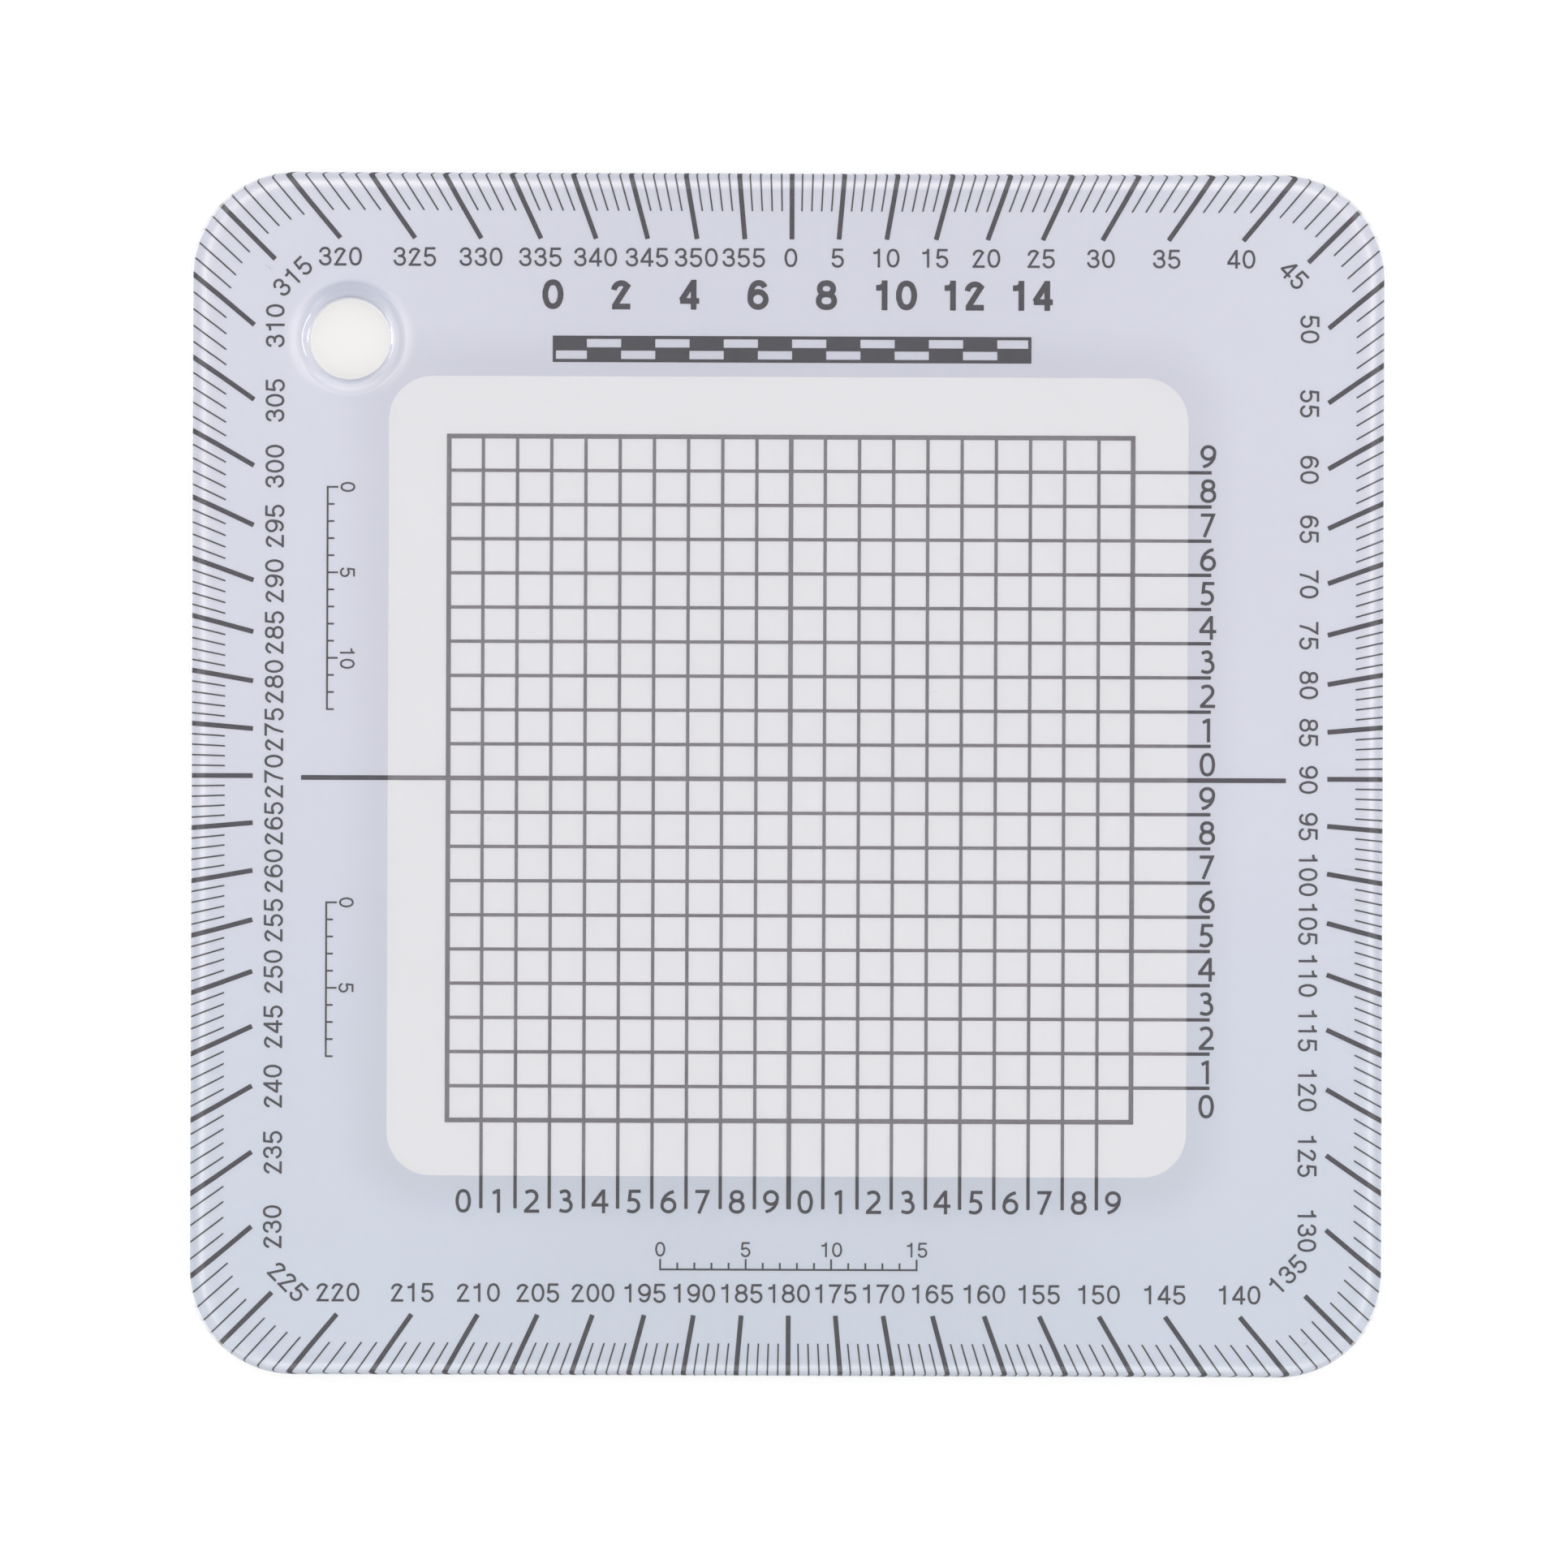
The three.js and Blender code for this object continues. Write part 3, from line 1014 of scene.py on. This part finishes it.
def frame_reach(angle, half_x, half_y, corner):
    """Distance from the middle to a frame with round corners, along a bearing."""
    run = Vector((math.sin(angle), math.cos(angle)))
    side = half_x / max(abs(run.x), TINY)
    end = half_y / max(abs(run.y), TINY)
    reach = min(side, end)
    hit = run * reach
    inner = Vector((half_x - corner, half_y - corner))
    if abs(hit.x) <= inner.x or abs(hit.y) <= inner.y:
        return reach
    bend = Vector((math.copysign(inner.x, run.x), math.copysign(inner.y, run.y)))
    along = run.dot(bend)
    return along + math.sqrt(along**2 - bend.length_squared + corner**2)


def add_mark(angle, start, stop, width, low_z, high_z):
    """Adds one straight mark along a bearing, to the piece that is being edited if there is one."""
    run = Vector((math.sin(angle), math.cos(angle), 0.0))
    centre = print_point(0.0, settings().ink.bearing_lift, (low_z + high_z) / 2)
    middle = centre + run * (start + stop) / 2
    bpy.ops.mesh.primitive_cube_add(
        size=1.0,
        location=middle,
        rotation=(0.0, 0.0, -angle),
        scale=(width, stop - start, high_z - low_z),
    )


def make_marks(name, bearings, width, frame_size, corner):
    """Marks from a frame out to the card's edge, trimmed to its outline."""
    low_z, high_z = ink_layer()
    beyond = (PLATE_HIGH - PLATE_LOW).xy.length / 2
    deselect_all()
    piece = None
    for degrees in bearings:
        angle = math.radians(degrees)
        start = frame_reach(angle, frame_size[0] / 2, frame_size[1] / 2, corner)
        add_mark(angle, start, beyond, width, low_z, high_z)
        if piece is None:
            piece = bpy.context.object
            piece.name = name
            apply_place(piece)
            edit_mode()
    object_mode()
    combine(piece, outline_slab("outline_trim", low_z - MM, high_z + MM), "INTERSECT")
    return piece


# Operators

SMOOTH_ANGLE = math.radians(35.0)
FULL_WEIGHT = 100


class READER_OT_clear_plate(Operator):
    """Model the clear plate with its rounded rim and lanyard hole"""

    bl_idname = "reader.clear_plate"
    bl_label = "Clear Plate"

    def execute(self, context):
        plate = settings().plate
        foot = PLATE_HIGH.z - plate.edge_rounding - plate.rim_sink
        piece = outline_slab("clear_plate", PLATE_LOW.z, foot)
        edit_mode()
        choose(piece, "FACE", lambda face: face.normal.z > FACES_UP)
        for inward, upward in self.rim_profile(plate.rim_width, plate.rim_sink):
            bpy.ops.mesh.inset(thickness=inward, depth=upward, use_even_offset=True)
        object_mode()
        combine(piece, self.bore_tool(), "DIFFERENCE")
        make_active(piece)
        bpy.ops.object.shade_smooth_by_angle(angle=SMOOTH_ANGLE)
        even = piece.modifiers.new("even", "WEIGHTED_NORMAL")
        even.keep_sharp = True
        even.weight = FULL_WEIGHT
        bpy.ops.object.modifier_apply(modifier=even.name)
        finish_piece(piece, "clear_plastic", "card_plate")
        return {"FINISHED"}

    def rim_profile(self, width, sink):
        """Steps across and upward, first round the edge and then over the rim."""
        plate = settings().plate
        radius = plate.edge_rounding
        insets = []
        for step in range(1, plate.edge_steps + 1):
            insets.append(radius * (1.0 - math.cos(QUARTER_TURN * step / plate.edge_steps)))
        for step in range(1, plate.rim_steps + 1):
            insets.append(radius + (width - radius) * step / plate.rim_steps)
        before, low = 0.0, 0.0
        for inset in insets:
            high = math.sqrt(radius**2 - max(radius - inset, 0.0) ** 2)
            high += sink * (1.0 - (1.0 - inset / width) ** 2)
            yield inset - before, high - low
            before, low = inset, high

    def bore_tool(self):
        """A rod that flares out as the hole's rim does."""
        plate = settings().plate
        foot = PLATE_HIGH.z - plate.edge_rounding - plate.bore_rim_sink
        below = PLATE_LOW.z - MM
        tool = rod("bore", plate.bore_place, plate.bore_radius, below, foot, plate.bore_steps)
        edit_mode()
        choose(tool, "FACE", lambda face: face.calc_center_median().z > foot - MICRON)
        radius = plate.bore_radius
        middle = (plate.bore_place[0], plate.bore_place[1], foot)
        for outward, upward in self.rim_profile(plate.bore_rim_width, plate.bore_rim_sink):
            extrude_up(upward)
            factor = (radius + outward) / radius
            bpy.ops.transform.resize(value=(factor, factor, 1.0), center_override=middle)
            radius += outward
        extrude_up(MM)
        object_mode()
        turn_faces_out(tool)
        return tool


class READER_OT_border_film(Operator):
    """Model the tinted film under the border"""

    bl_idname = "reader.border_film"
    bl_label = "Border Film"

    def execute(self, context):
        plate, film = settings().plate, settings().film
        low_z, high_z = SCALE_HIGH.z / 2, SCALE_HIGH.z - film.clearance
        piece = outline_slab("border_film", low_z, high_z)
        seam = Vector((film.window_seam, film.window_seam, 0.0))
        low = WINDOW_LOW - seam
        high = WINDOW_HIGH + seam
        low.z -= MM
        high.z += MM
        radius = film.window_corner_radius + film.window_seam
        window = rounded_slab("window_cut", low, high, radius, plate.corner_steps)
        combine(piece, window, "DIFFERENCE")
        foot, top = low_z - MM, high_z + MM
        bore = rod("bore", plate.bore_place, plate.bore_radius, foot, top, plate.bore_steps)
        turn_faces_out(bore)
        combine(piece, bore, "DIFFERENCE")
        finish_piece(piece, "tinted_film", "bearing_scale")
        return {"FINISHED"}


class READER_OT_window_sheet(Operator):
    """Model the milky film in the window"""

    bl_idname = "reader.window_sheet"
    bl_label = "Window Film"

    def execute(self, context):
        plate, film = settings().plate, settings().film
        high = WINDOW_HIGH.copy()
        high.z -= film.clearance
        radius, steps = film.window_corner_radius, plate.corner_steps
        piece = rounded_slab("window_sheet", WINDOW_LOW, high, radius, steps)
        finish_piece(piece, "matte_film", "window_film")
        return {"FINISHED"}


class READER_OT_grid(Operator):
    """Give the printed reading grid its ink"""

    bl_idname = "reader.grid"
    bl_label = "Reading Grid"

    def execute(self, context):
        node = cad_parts["grid_ink"]
        node.data.materials.clear()
        node.data.materials.append(finish_of("printing_ink"))
        return {"FINISHED"}


# Degrees between two long marks, and between two numbers.
BEARING_STEP = 5


class READER_OT_marks(Operator):
    """Model the bearing marks, a long one every five degrees"""

    bl_idname = "reader.marks"
    bl_label = "Bearing Marks"

    def execute(self, context):
        ink = settings().ink
        long_ones = range(0, FULL_CIRCLE, BEARING_STEP)
        short_ones = [degrees for degrees in range(FULL_CIRCLE) if degrees % BEARING_STEP]
        kinds = (
            ("long_marks", long_ones, ink.long_width, ink.long_frame, ink.long_corner),
            ("short_marks", short_ones, ink.short_width, ink.short_frame, ink.short_corner),
        )
        for kind in kinds:
            finish_piece(make_marks(*kind), "printing_ink", "bearing_scale")
        return {"FINISHED"}


# Bearings whose numbers stand at a corner: place in millimetres and turn in quarter turns.
CORNER_NUMBERS = {
    45: (29.37, 29.59, -0.5),
    135: (29.18, -28.89, 0.5),
    225: (-29.26, -29.49, -0.5),
    315: (-29.20, 29.30, 0.5),
}
BEARING_SHIFT = 0.06 * MM


class READER_OT_bearing_figures(Operator):
    """Print the bearing numbers, one every five degrees"""

    bl_idname = "reader.bearing_figures"
    bl_label = "Bearing Figures"

    def execute(self, context):
        sizes = settings().figures
        measures = (sizes.bearing_height, sizes.bearing_stroke, sizes.bearing_pitch)
        figures = FigureSet(BEARING_FIGURES, *measures)
        for degrees in range(0, FULL_CIRCLE, BEARING_STEP):
            figures.print_number(degrees, *self.number_place(degrees))
        finish_piece(figures.finish("bearing_figures"), "printing_ink")
        return {"FINISHED"}

    def number_place(self, degrees):
        """Where a bearing's number stands, and its turn."""
        sizes = settings().figures
        if degrees in CORNER_NUMBERS:
            x, y, quarter_turns = CORNER_NUMBERS[degrees]
            return x * MM, y * MM, quarter_turns * QUARTER_TURN
        angle = math.radians(degrees)
        along = sizes.bearing_reach
        back_right, front_right, front_left, back_left = CORNER_NUMBERS
        if degrees > back_left or degrees < back_right:
            return along * math.tan(angle) - BEARING_SHIFT, sizes.row_top, 0.0
        if degrees < front_right:
            return sizes.row_right, along / math.tan(angle) + BEARING_SHIFT, -QUARTER_TURN
        if degrees < front_left:
            return -along * math.tan(angle), -sizes.row_bottom, 0.0
        return -sizes.row_left, -along / math.tan(angle) + BEARING_SHIFT, QUARTER_TURN


GRID_SQUARES = 20
DIGITS = 10
COLUMN_SHIFT = 0.07 * MM
ROW_SHIFT = 0.03 * MM


class READER_OT_grid_figures(Operator):
    """Print the figures from 0 to 9 beside and below the grid"""

    bl_idname = "reader.grid_figures"
    bl_label = "Grid Figures"

    def execute(self, context):
        sizes = settings().figures
        figures = FigureSet(GRID_FIGURES, sizes.grid_height, sizes.grid_stroke, 0.0)
        for index in range(GRID_SQUARES):
            along = (index - (GRID_SQUARES - 1) / 2) * sizes.grid_square
            figures.print_number(index % DIGITS, sizes.column_right, along - COLUMN_SHIFT)
            figures.print_number(index % DIGITS, along - ROW_SHIFT, -sizes.row_below)
        finish_piece(figures.finish("grid_figures"), "printing_ink")
        return {"FINISHED"}


NUMBERED_SQUARE = 2


class READER_OT_scale_bar(Operator):
    """Model a plain scale bar in hundreds of metres, with its numbers"""

    bl_idname = "reader.scale_bar"
    bl_label = "Scale Bar"

    def execute(self, context):
        sizes, square = settings().scales, settings().figures.grid_square
        low_z, high_z = ink_layer()
        half = Vector((sizes.bar_length / 2, sizes.bar_height / 2))
        x, y = sizes.bar_place
        low = print_point(x - half.x, y - half.y, low_z)
        high = print_point(x + half.x, y + half.y, high_z)
        line = sizes.bar_line
        piece = add_box("scale_bar", low, high)
        for column in range(round(sizes.bar_length / square)):
            upper = column % 2
            left = low.x + column * square + (line if column == 0 else 0.0)
            right = low.x + (column + 1) * square
            right -= line if right > high.x - MICRON else 0.0
            foot = low.y + (half.y + line / 2 if upper else line)
            top = low.y + (2 * half.y - line if upper else half.y - line / 2)
            cell = add_box("cell", (left, foot, low_z - MM), (right, top, high_z + MM))
            combine(piece, cell, "DIFFERENCE")
        finish_piece(piece, "printing_ink")
        measures = (sizes.number_height, sizes.number_stroke, sizes.number_pitch)
        figures = FigureSet(BEARING_FIGURES, *measures)
        x, y = sizes.number_place
        for number in range(0, round(sizes.bar_length / square) + 1, NUMBERED_SQUARE):
            figures.print_number(number, x - half.x + number * square, y)
        finish_piece(figures.finish("scale_bar_figures"), "printing_ink")
        return {"FINISHED"}


# Name, place of the zero, turn, and length in whole millimetres.
RULES = (
    ("rule_upper_left", (-27.1 * MM, 17.0 * MM), -QUARTER_TURN, 13),
    ("rule_lower_left", (-27.1 * MM, -7.3 * MM), -QUARTER_TURN, 9),
    ("rule_below", (-7.5 * MM, -28.7 * MM), 0.0, 15),
)
NUMBERED_TICK = 5
LONG_TICK = 0.62 * MM
SHORT_TICK = 0.4 * MM
RULE_NUMBER_GAP = 0.75 * MM
RULE_PITCH_SHARE = 0.8


class READER_OT_small_rules(Operator):
    """Model three small millimetre rules with plain numbers"""

    bl_idname = "reader.small_rules"
    bl_label = "Small Rules"

    def execute(self, context):
        sizes = settings().scales
        height, stroke = sizes.rule_number_height, sizes.rule_number_stroke
        figures = FigureSet(BEARING_FIGURES, height, stroke, RULE_PITCH_SHARE * height)
        for name, start, turn, millimetres in RULES:
            piece = self.add_rule(name, start, turn, millimetres)
            finish_piece(piece, "printing_ink")
            for number in range(0, millimetres + 1, NUMBERED_TICK):
                offset = Matrix.Rotation(turn, 2) @ Vector((number * MM, RULE_NUMBER_GAP + height / 2))
                figures.print_number(number, start[0] + offset.x, start[1] + offset.y, turn)
        finish_piece(figures.finish("rule_figures"), "printing_ink")
        return {"FINISHED"}

    def add_rule(self, name, start, turn, millimetres):
        """A base line with a tick at each millimetre."""
        line = settings().scales.rule_line
        low_z, high_z = ink_layer()
        tall = high_z - low_z
        end = millimetres * MM + line / 2
        piece = add_box(name, (-line / 2, -line / 2, 0.0), (end, line / 2, tall))
        for number in range(millimetres + 1):
            reach = SHORT_TICK if number % NUMBERED_TICK else LONG_TICK
            middle = number * MM
            tick = add_box("tick", (middle - line / 2, 0.0, 0.0), (middle + line / 2, reach, tall))
            combine(piece, tick, "UNION")
        zero = Matrix.Translation(print_point(*start, low_z))
        piece.matrix_world = zero @ Matrix.Rotation(turn, 4, "Z")
        apply_place(piece)
        return piece


FLOOR_GAP = 20 * MICRON
FLOOR_ROUGHNESS = 0.9
BORE_SHADE_REACH = (-0.15 * MM, 0.05 * MM)
SENSOR_WIDTH = 36.0
CLIP_RANGE = (0.01, 20.0)


class READER_OT_stage(Operator):
    """Set up the pale floor, the lamps, the world and the camera"""

    bl_idname = "reader.stage"
    bl_label = "Stage"

    def execute(self, context):
        self.make_floor()
        self.make_world(context.scene)
        self.make_lamps()
        self.make_camera(context.scene)
        context.scene.view_settings.view_transform = "Standard"
        return {"FINISHED"}

    def seen_directly(self, tree):
        """1 for rays that show the floor: from the camera, or by way of gloss or glass."""
        light_path = add_node(tree, "ShaderNodeLightPath")
        seen = light_path.outputs["Is Camera Ray"]
        for ray in ("Is Glossy Ray", "Is Transmission Ray"):
            seen = math_node(tree, "MAXIMUM", seen, light_path.outputs[ray])
        return seen

    def make_floor(self):
        """A pale floor that shows white and keeps a soft shadow, with painted shade in the lanyard hole."""
        stage = settings().stage
        deselect_all()
        level = (0.0, 0.0, CAD_LOW.z - FLOOR_GAP)
        bpy.ops.mesh.primitive_plane_add(size=stage.floor_side, location=level)
        floor = bpy.context.object
        floor.name = "floor"
        apply_place(floor)
        material, tree, shader = new_material("pale_floor")
        tone = (*stage.floor_tone, 1.0)
        looks = {"Base Color": tone, "Roughness": FLOOR_ROUGHNESS, "Specular IOR Level": 0.0}
        set_inputs(shader, looks)
        # Painted shade: the floor's white is darker inside the lanyard hole.
        painted_shade_in_bore = spread(tree, bore_edge(tree)[0], *BORE_SHADE_REACH, 1.0, 0.0)
        white = mix_colours(tree, painted_shade_in_bore, WHITE, stage.bore_floor)
        glow = add_node(tree, "ShaderNodeEmission", [("Color", white), ("Strength", 1.0)])
        portion = math_node(tree, "MULTIPLY", self.seen_directly(tree), stage.floor_glow)
        links = [(0, portion), (1, shader.outputs[0]), (2, glow.outputs[0])]
        mixed = add_node(tree, "ShaderNodeMixShader", links)
        tree.links.new(mixed.outputs[0], tree.nodes["Material Output"].inputs["Surface"])
        floor.data.materials.append(material)

    def make_world(self, scene):
        """Soft white light from all round."""
        world = bpy.data.worlds.new("studio")
        scene.world = world
        world.use_nodes = True
        light = {"Color": (*WHITE, 1.0), "Strength": settings().stage.world_light}
        set_inputs(world.node_tree.nodes["Background"], light)

    def make_lamps(self):
        """Soft strips overhead, and others at the sides that only gleam in the gloss."""
        stage = settings().stage
        back, left, front, right = 0.0, 90.0, 180.0, 270.0
        overhead = stage.lamp_height
        # Name, bearing, distance out, height, width, depth, portion of the power, lights the card or not
        lamps = (
            ("strip_back", back, 0.342, overhead, 0.85, 0.125, 0.40, True),
            ("strip_left", left, 0.331, overhead, 0.85, 0.11, 0.30, True),
            ("strip_front", front, 0.381, overhead, 0.60, 0.075, 0.25, True),
            ("strip_right", right, 0.331, overhead, 0.85, 0.11, 0.30, True),
            ("side_left", left, 1.10, 0.92, 1.20, 0.28, 3.7, False),
            ("side_right", right, 0.80, 1.28, 0.90, 0.08, 2.0, False),
            ("edge_left", left, 1.40, 0.25, 0.50, 1.20, 36.0, False),
            ("edge_right", right, 1.40, 0.25, 0.50, 1.20, 36.0, False),
        )
        for name, bearing, out, up, width, depth, portion, lights_card in lamps:
            lamp = bpy.data.lights.new(name, "AREA")
            lamp.shape = "RECTANGLE"
            lamp.size = width
            lamp.size_y = depth
            lamp.energy = stage.lamp_power * portion
            holder = bpy.data.objects.new(name, lamp)
            bpy.context.collection.objects.link(holder)
            holder.matrix_world = (
                Matrix.Rotation(math.radians(bearing), 4, "Z")
                @ Matrix.Translation((0.0, out, up))
                @ Matrix.Rotation(-math.atan2(out, up), 4, "X")
            )
            holder.visible_camera = False
            holder.visible_diffuse = lights_card
            holder.visible_transmission = lights_card

    def make_camera(self, scene):
        """A long lens that looks straight down."""
        stage = settings().stage
        lens = bpy.data.cameras.new("camera")
        lens.lens = stage.camera_lens
        lens.sensor_width = SENSOR_WIDTH
        lens.clip_start, lens.clip_end = CLIP_RANGE
        camera = bpy.data.objects.new("camera", lens)
        bpy.context.collection.objects.link(camera)
        camera.location = (*stage.camera_place, stage.camera_height)
        camera.rotation_euler = (0.0, 0.0, stage.camera_turn)
        scene.camera = camera


class READER_PT_panel(Panel):
    """Lists the steps that build the reader"""

    bl_idname = "READER_PT_panel"
    bl_label = "Map Coordinate Reader"
    bl_space_type = "VIEW_3D"
    bl_region_type = "UI"
    bl_category = "Reader"

    def draw(self, context):
        column = self.layout.column()
        for operator in OPERATORS:
            column.operator(operator.bl_idname)


OPERATORS = (
    READER_OT_clear_plate,
    READER_OT_border_film,
    READER_OT_window_sheet,
    READER_OT_grid,
    READER_OT_marks,
    READER_OT_bearing_figures,
    READER_OT_grid_figures,
    READER_OT_scale_bar,
    READER_OT_small_rules,
    READER_OT_stage,
)
CLASSES = (
    PlateSettings,
    FilmSettings,
    InkSettings,
    FigureSettings,
    ScaleSettings,
    StageSettings,
    ReaderSettings,
    *OPERATORS,
    READER_PT_panel,
)


def register():
    """Registers the settings, the operators and the panel."""
    for kind in CLASSES:
        bpy.utils.register_class(kind)
    bpy.types.Scene.reader_settings = PointerProperty(type=ReaderSettings)


def unregister():
    """Removes what register added."""
    del bpy.types.Scene.reader_settings
    for kind in reversed(CLASSES):
        bpy.utils.unregister_class(kind)


def main():
    """Builds the reader step by step."""
    register()
    bpy.ops.reader.clear_plate()
    bpy.ops.reader.border_film()
    bpy.ops.reader.window_sheet()
    bpy.ops.reader.grid()
    bpy.ops.reader.marks()
    bpy.ops.reader.bearing_figures()
    bpy.ops.reader.grid_figures()
    bpy.ops.reader.scale_bar()
    bpy.ops.reader.small_rules()
    bpy.ops.reader.stage()


if __name__ == "__main__":
    main()
